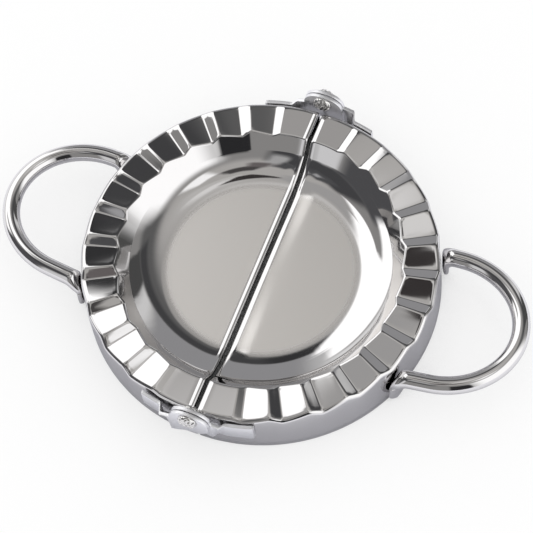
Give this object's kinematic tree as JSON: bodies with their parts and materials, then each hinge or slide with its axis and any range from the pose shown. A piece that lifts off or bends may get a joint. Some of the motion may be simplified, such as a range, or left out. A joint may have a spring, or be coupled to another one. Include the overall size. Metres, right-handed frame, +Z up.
{
  "type": "ravioli mould",
  "caption": "Hinged stainless steel press for ravioli and dumplings: round toothed bowl in folding halves, with a cutting edge below and a loop handle at each side.",
  "frame": {"origin": "middle of the mould on the plane of the cutting edge that it stands on", "axes": "+Z up, out of the open bowl; +Y along the fold axis, from the front hinge to the rear hinge; +X towards the right half's handle"},
  "size_m": [0.154, 0.1084, 0.0212],
  "materials": {
    "polished_steel": "mirror-polished stainless steel with a satin bowl floor",
    "handle_steel": "polished stainless steel rod",
    "leaf_steel": "plain pressed stainless strip",
    "rivet_steel": "hand-peened steel"
  },
  "bodies": {
    "right_side": {"right_mould_half": "polished_steel", "right_handle": "handle_steel", "right_rear_hinge_leaf": "leaf_steel", "right_front_hinge_leaf": "leaf_steel", "rear_rivet": "rivet_steel", "front_rivet": "rivet_steel"},
    "left_side": {"left_mould_half": "polished_steel", "left_handle": "handle_steel", "left_rear_hinge_leaf": "leaf_steel", "left_front_hinge_leaf": "leaf_steel"}
  },
  "joints": [
    {"name": "fold", "type": "hinge", "parent": "right_side", "child": "left_side", "pos_m": [0, 0, 0.0182], "axis": [0, 1, 0], "range_deg": [0, 184]}
  ]
}
